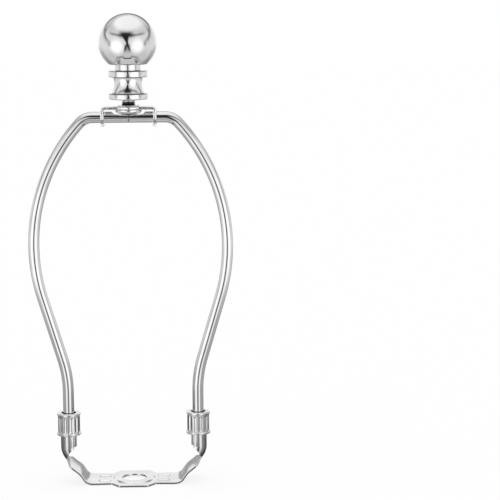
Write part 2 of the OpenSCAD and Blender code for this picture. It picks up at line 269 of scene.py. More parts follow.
def splitAxes(tree, place):
    axes = tree.nodes.new("ShaderNodeSeparateXYZ")
    tree.links.new(place, axes.inputs[0])
    return axes.outputs


def makePlatingGroup():
    # slow drift of a plated surface's tone and gloss, with small pits in its height
    group, given, made = newGroup("plated surface", {
        "Light Tone": ("Color", (0.9, 0.9, 0.9, 1)), "Dark Tone": ("Color", (0.8, 0.8, 0.8, 1)),
        "Drift Scale": ("Float", 60), "Grain Scale": ("Float", 900),
        "Smoothest": ("Float", 0.05), "Roughest": ("Float", 0.12),
    }, {"Tone": "Color", "Roughness": "Float", "Height": "Float"})
    place = objectPlace(group)
    drift = addNode(group, "ShaderNodeTexNoise",
                    {"Vector": place, "Scale": given["Drift Scale"], "Detail": 4}, "Fac")
    grain = addNode(group, "ShaderNodeTexNoise",
                    {"Vector": place, "Scale": given["Grain Scale"], "Detail": 3}, "Fac")
    spread = addStep(group, drift, 0.35, 0.65)
    tone = addMix(group, spread, given["Light Tone"], given["Dark Tone"], True)
    both = addMath(group, "MULTIPLY_ADD", grain, 0.4, addMath(group, "MULTIPLY", drift, 0.6))
    gloss = addStep(group, both, 0.3, 0.7, given["Smoothest"], given["Roughest"], "LINEAR")
    group.links.new(tone, made["Tone"])
    group.links.new(gloss, made["Roughness"])
    group.links.new(grain, made["Height"])
    return group


def makeLineGroup():
    # fine tool lines, across a direction that is stretched by Lengthening
    group, given, made = newGroup("tool lines", {
        "Line Scale": ("Float", 3000), "Lengthening": ("Vector", (1, 1, 1)),
    }, {"Lines": "Float"})
    stretched = addNode(group, "ShaderNodeVectorMath", {0: objectPlace(group), 1: given["Lengthening"]},
                        0, "MULTIPLY")
    lines = addNode(group, "ShaderNodeTexNoise",
                    {"Vector": stretched, "Scale": given["Line Scale"], "Detail": 2}, "Fac")
    group.links.new(lines, made["Lines"])
    return group


shadeEase = {"band": 0.15, "above": 1}     # half widths of the soft ends, in millimetres


def makeShadeGroup():
    # Clear is 0 near the upright axes at x = +-Axis and all round between the two Band heights, and
    # 1 elsewhere and below the height Above; the lengths are in metres
    group, given, made = newGroup("shade inside", {
        "Axis": ("Float", 0), "Inner": ("Float", 0.001), "Outer": ("Float", 0.002),
        "Band Low": ("Float", -1), "Band High": ("Float", -1), "Above": ("Float", -1),
    }, {"Clear": "Float"})
    x, y, z = splitAxes(group, objectPlace(group))

    def calc(operation, *items):
        return addMath(group, operation, *items)

    def over(height, ease):
        return addStep(group, z, calc("SUBTRACT", height, ease * mm), calc("ADD", height, ease * mm))

    offX = calc("SUBTRACT", calc("ABSOLUTE", x), given["Axis"])
    distance = calc("SQRT", calc("ADD", calc("MULTIPLY", offX, offX), calc("MULTIPLY", y, y)))
    clear = addStep(group, distance, given["Inner"], given["Outer"])
    underBand = calc("SUBTRACT", 1, over(given["Band Low"], shadeEase["band"]))
    overBand = over(given["Band High"], shadeEase["band"])
    clear = calc("MULTIPLY", clear, calc("MAXIMUM", underBand, overBand))
    under = calc("SUBTRACT", 1, over(given["Above"], shadeEase["above"]))
    group.links.new(calc("MAXIMUM", clear, under), made["Clear"])
    return group


platingGroup = makePlatingGroup()
lineGroup = makeLineGroup()
shadeGroup = makeShadeGroup()


def newMaterial(name):
    material = bpy.data.materials.new(name)
    material.use_nodes = True
    return material, material.node_tree, material.node_tree.nodes["Principled BSDF"]


def platedMetal(name, look):
    material, tree, shader = newMaterial(name)
    shader.inputs["Metallic"].default_value = 1
    plating = addGroup(tree, platingGroup, {
        "Light Tone": (*look["light"], 1), "Dark Tone": (*look["dark"], 1),
        "Drift Scale": look["driftScale"], "Grain Scale": look["grainScale"],
        "Smoothest": look["smoothest"], "Roughest": look["roughest"],
    })
    lines = addGroup(tree, lineGroup,
                     {"Line Scale": look["lineScale"], "Lengthening": look["lengthening"]})
    pits = addNode(tree, "ShaderNodeBump", {
        "Strength": look["pitStrength"], "Distance": look["pitDepth"], "Height": plating["Height"],
    }, "Normal")
    cuts = addNode(tree, "ShaderNodeBump", {
        "Strength": look["lineStrength"], "Distance": look["lineDepth"], "Height": lines["Lines"],
        "Normal": pits,
    }, "Normal")
    tree.links.new(cuts, shader.inputs["Normal"])
    tree.links.new(plating["Tone"], shader.inputs["Base Color"])
    tree.links.new(plating["Roughness"], shader.inputs["Roughness"])
    return material


def darken(material, clear, tone):
    # turns the base colour to tone where clear is 0
    tree = material.node_tree
    base = tree.nodes["Principled BSDF"].inputs["Base Color"]
    tree.links.new(addMix(tree, clear, (*tone, 1), base.links[0].from_socket, True), base)


def shadeInside(material, shade):
    # the shade group with its lengths in millimetres
    values = {"Axis": shade["axis"] * mm, "Inner": shade["inner"] * mm, "Outer": shade["outer"] * mm}
    if "band" in shade:
        values["Band Low"], values["Band High"] = (height * mm for height in shade["band"])
    if "above" in shade:
        values["Above"] = shade["above"] * mm
    darken(material, addGroup(material.node_tree, shadeGroup, values)["Clear"], shade["tone"])


def shadeCorners(material, heights, cornerShade):
    # thin dark lines at the given heights in millimetres: painted shade in the turned corners
    tree = material.node_tree
    z = splitAxes(tree, objectPlace(tree))["Z"]
    nearest = None
    for height in heights:
        gap = addMath(tree, "ABSOLUTE", addMath(tree, "SUBTRACT", z, height * mm))
        nearest = addMath(tree, "MINIMUM", nearest, gap) if nearest else gap
    darken(material, addStep(tree, nearest, cornerShade["inner"] * mm, cornerShade["outer"] * mm), cornerShade["tone"])


wireLook = {
    "light": (0.86, 0.86, 0.87), "dark": (0.78, 0.78, 0.79), "driftScale": 70, "grainScale": 1200,
    "smoothest": 0.04, "roughest": 0.1, "pitStrength": 0.15, "pitDepth": 0.00002,
    "lineScale": 1500, "lengthening": (1, 1, 0.03), "lineStrength": 0.12, "lineDepth": 0.00002,
}
ferruleLook = {
    "light": (0.92, 0.92, 0.93), "dark": (0.82, 0.82, 0.83), "driftScale": 160, "grainScale": 1800,
    "smoothest": 0.06, "roughest": 0.14, "pitStrength": 0.2, "pitDepth": 0.00003,
    "lineScale": 2200, "lengthening": (1, 1, 0.05), "lineStrength": 0.25, "lineDepth": 0.00003,
}
sheetLook = {
    "light": (0.96, 0.96, 0.97), "dark": (0.88, 0.88, 0.89), "driftScale": 90, "grainScale": 1500,
    "smoothest": 0.08, "roughest": 0.18, "pitStrength": 0.25, "pitDepth": 0.00003,
    "lineScale": 900, "lengthening": (0.15, 1, 1), "lineStrength": 0.15, "lineDepth": 0.00003,
}
studLook = {
    "light": (0.92, 0.92, 0.93), "dark": (0.8, 0.8, 0.81), "driftScale": 200, "grainScale": 2500,
    "smoothest": 0.08, "roughest": 0.2, "pitStrength": 0.3, "pitDepth": 0.00003,
    "lineScale": 2500, "lengthening": (0.2, 0.2, 1), "lineStrength": 0.2, "lineDepth": 0.00002,
}
turnedLook = {
    "light": (0.9, 0.9, 0.91), "dark": (0.83, 0.83, 0.84), "driftScale": 60, "grainScale": 1600,
    "smoothest": 0.03, "roughest": 0.08, "pitStrength": 0.08, "pitDepth": 0.00002,
    "lineScale": 2600, "lengthening": (0.03, 0.03, 1), "lineStrength": 0.1, "lineDepth": 0.00001,
}
clipLook = {
    "light": (0.97, 0.97, 0.98), "dark": (0.88, 0.88, 0.89), "driftScale": 150, "grainScale": 330,
    "smoothest": 0.05, "roughest": 0.14, "pitStrength": 1, "pitDepth": 0.0003,
    "lineScale": 900, "lengthening": (0.15, 1, 1), "lineStrength": 0.1, "lineDepth": 0.00002,
}
studShade = {"axis": 0, "inner": 2.6, "outer": 2.9, "band": (170.6, 172.8), "tone": (0.04, 0.04, 0.04)}
boreShade = {"axis": 29.4, "inner": 3.3, "outer": 3.5, "tone": (0.03, 0.03, 0.03)}
socketShade = {"axis": 29.4, "inner": 2.9, "outer": 4.2, "above": 11.2, "tone": (0.2, 0.2, 0.2)}
wireMetal = platedMetal("polished wire", wireLook)
ferruleMetal = platedMetal("drawn ferrule", ferruleLook)
sheetMetal = platedMetal("pressed sheet", sheetLook)
studMetal = platedMetal("threaded stud", studLook)
turnedMetal = platedMetal("turned finial", turnedLook)
clipMetal = platedMetal("folded strap", clipLook)
shadeInside(studMetal, studShade)
shadeInside(ferruleMetal, boreShade)
shadeInside(sheetMetal, socketShade)
print("materials made")


# The bent wire: a round section swept along arcs and straights, with flattened feet

bow = {
    "wireRadius": 2.5, "halfWidth": 43.4, "bend": 82, "topHeight": 166.2, "drop": 57.8,
    "cornerBend": 8, "slope": math.radians(16.6), "kneeBend": 52, "legGap": 29.4,
    "topFlatDepth": 1.1, "topFlatLength": 15, "flatEase": 1.2,
    "tongueThickness": 3.4, "tongueWidth": 5.3, "tongueTurn": math.radians(16.5), "press": 3,
    "tipRound": 0.5, "tipShrink": 0.12, "socketTop": 31, "sides": 56, "pitch": 0.7,
}


def followPath(start, segments, pitch):
    # stations [x, z, slope, run] along segments of [length, radius], radius 0 being straight
    x, z, slope, run = start
    stations = [start]
    for length, radius in segments:
        steps = max(1, math.ceil(length / pitch))
        for k in range(1, steps + 1):
            part = length * k / steps
            if radius == 0:
                station = (x + part * math.cos(slope), z + part * math.sin(slope), slope, run + part)
            else:
                end = slope + part / radius
                station = (x + radius * (math.sin(end) - math.sin(slope)),
                           z - radius * (math.cos(end) - math.cos(slope)), end, run + part)
            stations.append(station)
        x, z, slope, run = stations[-1]
    return stations


def makeBow():
    b = bow
    footHeight = nodeRange("harp_wire", 2)[0]
    centreX = b["halfWidth"] - b["bend"]
    centreZ = b["topHeight"] - b["drop"]
    cornerZ = b["topHeight"] - b["cornerBend"]
    cornerX = centreX + math.sqrt((b["bend"] - b["cornerBend"]) ** 2 - (cornerZ - centreZ) ** 2)
    cornerEnd = math.atan2(cornerZ - centreZ, cornerX - centreX)
    sideX = centreX + b["bend"] * math.cos(b["slope"])
    sideZ = centreZ - b["bend"] * math.sin(b["slope"])
    kneeX = b["legGap"] + b["kneeBend"] * (1 - math.cos(b["slope"]))
    sideLength = (sideX - kneeX) / math.sin(b["slope"])
    kneeZ = sideZ - sideLength * math.cos(b["slope"]) - b["kneeBend"] * math.sin(b["slope"])
    roundPart = [
        (cornerX, 0), (b["cornerBend"] * (math.pi / 2 - cornerEnd), -b["cornerBend"]),
        (b["bend"] * (cornerEnd + b["slope"]), -b["bend"]), (sideLength, 0),
        (b["kneeBend"] * b["slope"], b["kneeBend"]), (kneeZ - b["socketTop"], 0),
    ]
    roundLength = sum(part[0] for part in roundPart)
    foot = [(b["socketTop"] - footHeight, 0)]
    stations = followPath((0, b["topHeight"], 0, 0), roundPart + foot, b["pitch"])
    flatHeight = b["topHeight"] + b["wireRadius"] - b["topFlatDepth"]

    def ring(station, side):
        x, z, slope, run = station
        flat = smoothStep(run, roundLength, roundLength + b["press"])
        toTip = run - stations[-1][3] + b["tipRound"]
        shrink = 1 - b["tipShrink"] * max(toTip / b["tipRound"], 0) ** 2
        halfT = b["wireRadius"] + (b["tongueThickness"] / 2 - b["wireRadius"]) * flat
        halfW = b["wireRadius"] + (b["tongueWidth"] / 2 - b["wireRadius"]) * flat
        points = []
        for k in range(b["sides"]):
            angle = 2 * math.pi * k / b["sides"] * side
            u = max(-halfT, min(halfT, halfW * math.cos(angle))) * shrink
            v = halfW * math.sin(angle) * shrink
            y = u * math.cos(b["tongueTurn"]) - v * math.sin(b["tongueTurn"])
            n = v * math.cos(b["tongueTurn"]) + u * math.sin(b["tongueTurn"])
            px, pz = x - n * math.sin(slope), z + n * math.cos(slope)
            pressed = smoothStep(b["topFlatLength"] / 2 - abs(px), 0, b["flatEase"])
            pz = min(pz, flatHeight + (1 - pressed) * b["topFlatDepth"])
            points.append((side * px, y, pz))
        return points

    points, faces = [], []
    rows = len(stations)
    for side in (1, -1):
        half = [point for station in stations for point in ring(station, side)]
        halfFaces = gridFaces(rows, b["sides"], False, True)
        halfFaces.append(tuple(range((rows - 1) * b["sides"], rows * b["sides"])))
        addPart(points, faces, half, halfFaces, side < 0)
    points, faces = weld(points, faces)
    newPiece("bent_wire", points, faces, "bow", wireMetal, ["harp_wire"])


makeBow()
print("wire bow swept")


# The two lock ferrules

ferrule = {
    "bore": 3.95, "lipBore": 3.1, "lip": 1, "body": 5, "rim": 5.3, "rimHeight": 1.3, "flange": 5.5,
    "flangeHeight": 1.1, "flutes": 12, "fluteRadius": 1.5, "fluteDepth": 0.35, "fluteEase": 0.7,
    "mouthEdge": 0.1, "footRound": 0.5, "rimRound": 0.55, "corner": 0.12, "topRound": 0.6,
    "lipRound": 0.4, "lipEdge": 0.2, "columns": 24, "rowGap": 0.35,
}


def makeFerrule(name, node, body):
    f = ferrule
    low, high = nodeRange(node, 2)
    left, right = nodeRange(node, 0)
    middle = (left + right) / 2
    fluteLow, fluteHigh = low + f["flangeHeight"], high - f["rimHeight"]
    centre = f["body"] + f["fluteRadius"] - f["fluteDepth"]

    def fluted(r, z, angle):
        if abs(r - f["body"]) > 0.01 or not fluteLow < z < fluteHigh:
            return r
        period = 2 * math.pi / f["flutes"]
        off = (angle % period) - period / 2
        reach = f["fluteRadius"] ** 2 - (centre * math.sin(off)) ** 2
        if reach <= 0:
            return r
        cut = max(r - centre * math.cos(off) + math.sqrt(reach), 0)
        ease = smoothStep(z, fluteLow, fluteLow + f["fluteEase"]) \
            * smoothStep(-z, -fluteHigh, -fluteHigh + f["fluteEase"])
        return r - cut * ease

    under = high - f["lip"]
    outline = filletOutline([
        (f["bore"], low, f["mouthEdge"]), (f["flange"], low, f["footRound"]),
        (f["flange"], fluteLow, f["rimRound"]), (f["body"], fluteLow, f["corner"]),
        (f["body"], fluteHigh, f["corner"]), (f["rim"], fluteHigh, f["rimRound"]),
        (f["rim"], high, f["topRound"]), (f["lipBore"], high, f["lipRound"]),
        (f["lipBore"], under, f["lipEdge"]), (f["bore"], under, f["lipEdge"])], 5, True)
    outline = splitOutline(outline, f["rowGap"], True)
    points, faces = spin(outline, f["flutes"] * f["columns"], (middle, 0), fluted, True)
    newPiece(name, points, faces, body, ferruleMetal, [node])


makeFerrule("fluted_ferrule_left", "left_ferrule", "left_lock")
makeFerrule("fluted_ferrule_right", "right_ferrule", "right_lock")
print("ferrules turned")


# The pressed saddle: plate with boss and ribs, then an arm, a waist and a rolled socket each side

saddle = {
    "thickness": 1.0, "edgeRound": 0.28, "holeRadius": 5.55, "bossRadius": 9.2, "bossRise": 0.5,
    "bossEase": 0.7, "halfPlate": 10, "halfEdge": 6.5, "halfDepth": 12.5, "halfNeck": 7.9,
    "halfArm": 8.4, "waist": 4.6, "ribSpacing": 7.8, "ribHalf": 0.8, "ribTop": 0.1, "ribLength": 6,
    "ribRise": 0.6, "ribShift": 0.5, "overlap": 0.3,
    "footBend": 4.5, "footSlope": math.radians(57), "rise": 2.2, "easeBend": 8,
    "reachSlope": math.radians(38), "reach": 5.6, "scoopBend": 9, "socketRadius": 3.3,
    "legGap": 29.4, "socketTop": 31, "mouthFront": 53, "mouthBack": 28, "notch": 1.6,
    "frontSlant": 4.4, "backSlant": 4.1, "rollLength": 3.6, "leastRoll": 0.0005,
    "crown": 0.4, "crownIn": (1, 5), "crownOut": (-3, 1),
    "cells": 60, "flatRows": 30, "pitch": 0.45, "slantCells": 10, "edgeCells": 14,
    "ringsToBoss": 5, "bossRings": 10, "bossSpan": 0.7,
}


def armPath():
    s = saddle
    steep, reachSlope = s["footSlope"], s["reachSlope"]
    segments = [
        (s["footBend"] * steep, s["footBend"]), (s["rise"], 0),
        (s["easeBend"] * (steep - reachSlope), -s["easeBend"]), (s["reach"], 0),
        (s["scoopBend"] * (math.pi / 2 - reachSlope), s["scoopBend"]),
    ]
    reachEnd = sum(part[0] for part in segments[:4])
    run, climb = followPath((0, 0, 0, 0), segments, s["pitch"])[-1][:2]
    segments.append((s["socketTop"] - climb, 0))
    return s["legGap"] + s["socketRadius"] + s["thickness"] / 2 - run, segments, reachEnd


armStart, armSegments, reachEnd = armPath()


def plateRise(x, y):
    s = saddle
    boss = s["bossRise"] * (1 - smoothStep(math.hypot(x, y), s["bossRadius"] - s["bossEase"] / 2,
                                           s["bossRadius"] + s["bossEase"] / 2))
    ribX = (s["bossRadius"] + armStart) / 2 - s["ribShift"]
    along = max(abs(abs(x) - ribX) - s["ribLength"] / 2 + s["ribHalf"], 0)
    off = math.hypot(along, abs(y) - s["ribSpacing"] / 2)
    rib = s["ribRise"] * (1 - smoothStep(off, s["ribTop"], s["ribHalf"]))
    return max(boss, rib) + min(boss, rib) * s["overlap"]


def platePoint(x, y, toEdge):
    s = saddle
    t = edgeThickness(s["thickness"] / 2, s["edgeRound"], toEdge)
    return (x, y, s["thickness"] / 2 + plateRise(x, y), 0, 0, 1, t, t)


def plateEdge(x, y):
    # distance from a point of the plate's middle to its outline
    s = saddle
    slantX, slantY = s["halfDepth"] - s["halfNeck"], s["halfPlate"] - s["halfEdge"]
    size = math.hypot(slantX, slantY)
    slant = ((s["halfPlate"] - abs(x)) * slantX + (s["halfNeck"] - abs(y)) * slantY) / size
    return min(s["halfDepth"] - abs(y), slant)


def holedPatch(rimRadii, sidePlaces, halfLength, outlinePlaces, outline, pointAt, spread):
    # a flat patch between a round hole and an outline, whose straight ends are at x = +-halfLength
    border = [(halfLength, y) for y in sidePlaces]
    border += [(x, outline(x)) for x in reversed(outlinePlaces)]
    border += [(-halfLength, y) for y in reversed(sidePlaces)]
    border += [(x, -outline(x)) for x in outlinePlaces]
    rings = []
    for r in rimRadii:
        rings.append([(r * x / math.hypot(x, y), r * y / math.hypot(x, y)) for x, y in border])
    last = rings[-1]
    for share in spread:
        rings.append([(p[0] + (q[0] - p[0]) * share, p[1] + (q[1] - p[1]) * share)
                      for p, q in zip(last, border)])
    points = [pointAt(x, y) for ring in rings for x, y in ring]
    faces = gridFaces(len(rings), len(border), False, True)
    return points, [face[:1] + face[:0:-1] for face in faces]     # turned over to face up


rimEdges = (0, 0.03, 0.08, 0.15, 0.28)


def holeEdges(radius, edges=rimEdges):
    return [radius + e for e in edges]


def makeSaddle():
    s = saddle

    def outline(x):
        if abs(x) <= s["halfEdge"]:
            return s["halfDepth"]
        share = (abs(x) - s["halfEdge"]) / (s["halfPlate"] - s["halfEdge"])
        return s["halfDepth"] + (s["halfNeck"] - s["halfDepth"]) * share

    def middlePoint(x, y):
        toHole = math.hypot(x, y) - s["holeRadius"]
        toRim = s["halfNeck"] - abs(y) if abs(x) > s["halfPlate"] - 0.001 else plateEdge(x, y)
        return platePoint(x, y, max(min(toHole, toRim), 0))

    columns = acrossSheet(-s["halfNeck"], s["halfNeck"], s["cells"])
    slant = between(s["halfEdge"], s["halfPlate"], s["slantCells"])[1:-1]
    places = [-x for x in reversed(slant)] + between(-s["halfEdge"], s["halfEdge"], 2 * s["edgeCells"])
    places += slant
    bossLow, bossHigh = (s["bossRadius"] + side * s["bossEase"] * s["bossSpan"] for side in (-1, 1))
    radii = holeEdges(s["holeRadius"]) + between(s["holeRadius"], bossLow, s["ringsToBoss"])[1:-1]
    radii += between(bossLow, bossHigh, s["bossRings"])
    spread = [0.15, 0.3, 0.5, 0.7, 0.85, 0.93, 0.96, 0.98, 0.99, 1]
    points, faces = holedPatch(radii, columns, s["halfPlate"], places, outline, middlePoint, spread)

    # the arm's stations, first along the flat, with close rows at the socket's end
    stations = [(x, 0, 0, 0) for x in between(s["halfPlate"], armStart, s["flatRows"])[:-1]]
    stations += followPath((armStart, 0, 0, 0), armSegments, s["pitch"])
    total = stations[-1][3]
    top = stations.pop()
    stations += [(top[0], top[1] - e, top[2], total - e) for e in reversed(rimEdges)]
    waistRun = reachEnd + s["notch"]
    crownEnd = [reachEnd + place for place in s["crownOut"]]

    def halfWidth(run, full, fullRun):
        if run < waistRun:
            narrow = smoothStep(run, reachEnd - s["notch"], waistRun)
            return s["halfArm"] + (s["waist"] / 2 - s["halfArm"]) * narrow
        return s["waist"] / 2 + (full - s["waist"] / 2) * min((run - waistRun) / (fullRun - waistRun), 1)

    frontReach = s["socketRadius"] * math.radians(180 - s["mouthFront"])
    backReach = s["socketRadius"] * math.radians(180 - s["mouthBack"])

    def armRow(x, z, slope, run, isFlat):
        row = []
        if isFlat:
            share = (x - s["halfPlate"]) / (armStart - s["halfPlate"])
            w = s["halfNeck"] + (s["halfArm"] - s["halfNeck"]) * share
            for y in acrossSheet(-w, w, s["cells"]):
                row.append(platePoint(x, y, w - abs(y)))
            return row
        front = halfWidth(run, frontReach, waistRun + s["frontSlant"])
        back = halfWidth(run, backReach, waistRun + s["backSlant"])
        rolled = smoothStep(run, reachEnd, reachEnd + s["rollLength"])
        roll = max(rolled, s["leastRoll"]) / s["socketRadius"]
        for q in acrossSheet(-front, back, s["cells"]):
            turn = q * roll
            toEdge = min(q + front, back - q, total - run)
            t = edgeThickness(s["thickness"] / 2, s["edgeRound"], max(toEdge, 0))
            n = s["thickness"] / 2 + (1 - math.cos(turn)) / roll
            # the arm is crowned a little, so its long edges droop
            crown = s["crown"] * smoothStep(run, *s["crownIn"]) * (1 - smoothStep(run, *crownEnd))
            n -= crown * (q / s["halfArm"]) ** 2
            lean = 2 * crown * q / s["halfArm"] ** 2 - math.sin(turn)
            normal = (-math.cos(turn) * math.sin(slope), lean, math.cos(turn) * math.cos(slope))
            row.append((x - n * math.sin(slope), math.sin(turn) / roll, z + n * math.cos(slope),
                        *normal, t, t))
        return row

    for side in (1, -1):
        arm = []
        for i, station in enumerate(stations):
            for p in armRow(*station, i < s["flatRows"]):
                arm.append((side * p[0], p[1], p[2], side * p[3], *p[4:]))
        addPart(points, faces, arm, gridFaces(len(stations), len(columns)), side > 0)
    points, faces = thicken(points, faces)
    newPiece("pressed_saddle", points, faces, "saddle", sheetMetal, ["saddle"])


makeSaddle()
print("saddle pressed")


# The stud: a domed head under the clip, and a rolled thread above it

stud = {
    "radius": 3.16, "root": 2.66, "pitch": 0.94, "rowsPerTurn": 12, "sides": 72, "headRadius": 6.05,
    "flatRadius": 3.4, "domeShare": 0.75, "length": 10, "clipThickness": 1.4, "headGap": 0.1,
    "domeRows": 14, "headEdge": 0.15, "headCorner": 0.05, "bevel": 0.5, "plain": 0.5,
    "startIn": (-0.2, 0.3), "crest": 0.8,
}


def makeStud():
    s = stud
    low, high = nodeRange("stud", 2)
    clipTop = high - s["length"]
    headTop = clipTop - s["clipThickness"] - s["headGap"]
    domeTop = (headTop - low) * s["domeShare"]
    outline = [(0, low), (s["flatRadius"], low)]
    for bend in between(0, math.pi / 2, s["domeRows"])[1:]:
        outline.append((s["flatRadius"] + (s["headRadius"] - s["flatRadius"]) * math.sin(bend),
                        low + domeTop * (1 - math.cos(bend))))
    outline += filletOutline([
        (s["headRadius"], low + domeTop, 0), (s["headRadius"], headTop, s["headEdge"]),
        (s["radius"], headTop, s["headCorner"]), (s["radius"], clipTop, 0)], 4)[1:]
    threadLow = clipTop + s["plain"]
    startLow, startHigh = (threadLow + place for place in s["startIn"])
    rows = math.ceil((high - clipTop) / s["pitch"] * s["rowsPerTurn"])
    outline += [(s["radius"], z) for z in between(clipTop, high, rows)[1:]]
    outline.append((0, high))

    def threaded(r, z, angle):
        if z < clipTop or r < s["radius"] - 0.001:
            return r
        phase = ((z - threadLow) / s["pitch"] - angle / (2 * math.pi)) % 1
        depth = (1 - math.cos(2 * math.pi * phase)) / 2
        depth = depth ** s["crest"] * smoothStep(z, startLow, startHigh)
        r -= (s["radius"] - s["root"]) * depth
        return min(r, s["radius"] - s["bevel"] * smoothStep(z, high - s["bevel"], high))

    points, faces = spin(outline, s["sides"], (0, 0), threaded)
    newPiece("threaded_stud", points, faces, "swivel", studMetal, ["stud"])


makeStud()
print("stud threaded")


# The turned finial: two rings with a hollow spool between them, a neck and the ball

finial = {
    "ring": 8.65, "lowRing": 2.6, "lowEdge": 0.7, "spool": 7.3, "spoolFoot": 7.4, "spoolWaist": 6.05,
    "footBend": 2.6, "topBend": 5, "topWidening": 0.7, "highRing": 2.8, "neck": 5.7,
    "neckHeight": 2.8, "tap": 3.235, "tapDepth": 9.9, "tapMouth": 0.5, "tapEdge": 0.2,
    "edge": 0.4, "corner": 0.3, "neckCorner": 0.2, "neckEdge": 0.1, "spoolRows": 24, "sides": 160,
    "rowGap": 0.8, "ball": 12.947, "ballFlat": 8.7, "flatEdge": 0.15, "ballRows": 120, "flatGap": 2,
}
# painted shade: thin dark lines in the turned corners of the finial's foot
cornerShade = {"inner": 0.12, "outer": 0.42, "tone": (0.2, 0.2, 0.2)}


def makeFinialFoot():
    f = finial
    low = nodeRange("finial_base", 2)[0]
    spoolLow = low + f["lowRing"]
    spoolHigh = spoolLow + f["spool"]
    ringHigh = spoolHigh + f["highRing"]
    neckHigh = ringHigh + f["neckHeight"]
    tapTop = low + f["tapDepth"]
    spool = []
    for share in between(0, 1, f["spoolRows"]):
        radius = f["spoolWaist"] + (f["spoolFoot"] - f["spoolWaist"]) * (1 - share) ** f["footBend"] \
            + f["topWidening"] * share ** f["topBend"]
        spool.append((radius, spoolLow + f["spool"] * share))
    outline = filletOutline([
        (0, tapTop, 0), (f["tap"], tapTop, f["tapEdge"]), (f["tap"], low + f["tapMouth"], f["tapEdge"]),
        (f["tap"] + f["tapMouth"], low, f["neckEdge"]), (f["ring"], low, f["lowEdge"]),
        (f["ring"], spoolLow, f["corner"]), (spool[0][0], spoolLow, 0)], 8)
    outline += spool[1:]
    outline += filletOutline([
        (spool[-1][0], spoolHigh, 0), (f["ring"], spoolHigh, f["edge"]), (f["ring"], ringHigh, f["edge"]),
        (f["neck"], ringHigh, f["neckCorner"]), (f["neck"], neckHigh, f["neckEdge"]),
        (0, neckHigh, 0)], 8)[1:]
    outline = splitOutline(outline, f["rowGap"])
    points, faces = spin(outline, f["sides"])
    shadeCorners(turnedMetal, (spoolLow, spoolHigh, ringHigh), cornerShade)
    piece = newPiece("turned_foot", points, faces, "finial", turnedMetal, ["finial_base"])
    weightNormals(piece)


def makeBall():
    f = finial
    low, high = nodeRange("finial_ball", 2)
    centre = high - f["ball"]
    start = -math.acos(f["ballFlat"] / f["ball"])
    outline = [(0, low), (f["ballFlat"] - f["flatEdge"], low)]
    for angle in between(start, math.pi / 2, f["ballRows"]):
        outline.append((f["ball"] * math.cos(angle), centre + f["ball"] * math.sin(angle)))
    outline[-1] = (0, high)
    points, faces = spin(splitOutline(outline, f["flatGap"]), f["sides"])
    piece = newPiece("polished_ball", points, faces, "finial", turnedMetal, ["finial_ball"])
    weightNormals(piece)


makeFinialFoot()
makeBall()
print("finial turned")


# The swivel clip: a strap with a round seat, folded down into two pierced and slit ears

clip = {
    "thickness": 1.4, "edgeRound": 0.5, "halfLength": 12.4, "halfWidth": 4.5, "seatRadius": 6.2,
    "fold": 2, "holeRadius": 3.3, "collarRadius": 5.1, "collarHeight": 0.5, "patchHalf": 7,
    "wireHole": 2.55, "wireHeight": 166.2, "shoulder": 0.83, "tipHalf": 1.9, "tipDrop": 2.9,
    "slitHalf": 0.4, "cells": 24, "tabThickness": 1.1, "tabRound": 0.35, "tabLength": 1.2,
    "tabRoot": 0.375, "tabTwist": math.radians(30), "tabLean": math.radians(28),
    "tabSpread": math.radians(16), "collarEdge": (-0.15, 0.1), "collarRingGap": 0.05,
    "arcCells": 48, "straightCells": 8, "tipCells": 8, "sideCells": 16, "earRows": 24, "tabCells": 8,
    "strapPitch": 0.15,
}
fineEdges = (0, 0.02, 0.06, 0.12, 0.2, 0.3, 0.4, 0.5)
tabEdges = (0, 0.03, 0.08, 0.16, 0.26, 0.35)


def clipPlate(level, columns):
    c = clip
    seatX = math.sqrt(c["seatRadius"] ** 2 - c["halfWidth"] ** 2)
    seatTurn = math.asin(seatX / c["seatRadius"])

    collarLow, collarHigh = (c["collarRadius"] + place for place in c["collarEdge"])

    def outline(x):
        return math.sqrt(c["seatRadius"] ** 2 - x * x) if abs(x) < seatX else c["halfWidth"]

    def pointAt(x, y):
        r = math.hypot(x, y)
        inside = max(c["seatRadius"] - r, c["halfWidth"] - abs(y))
        t = edgeThickness(c["thickness"] / 2, c["edgeRound"], max(min(inside, r - c["holeRadius"]), 0))
        collar = c["collarHeight"] * (1 - smoothStep(r, collarLow, collarHigh))
        return (x, y, level, 0, 0, 1, t + collar, t)

    arc = [c["seatRadius"] * math.sin(turn) for turn in between(-seatTurn, seatTurn, c["arcCells"])]
    straight = between(seatX, c["patchHalf"], c["straightCells"])[1:-1]
    places = [-x for x in reversed(straight)] + arc + straight
    radii = holeEdges(c["holeRadius"], fineEdges)
    radii += [c["collarRadius"] + c["collarRingGap"] * k for k in range(-4, 4)]
    spread = [0.1, 0.2, 0.3, 0.4, 0.5, 0.6, 0.7, 0.78, 0.86, 0.92, 0.96, 0.985, 1]
    return holedPatch(radii, columns, c["patchHalf"], places, outline, pointAt, spread)


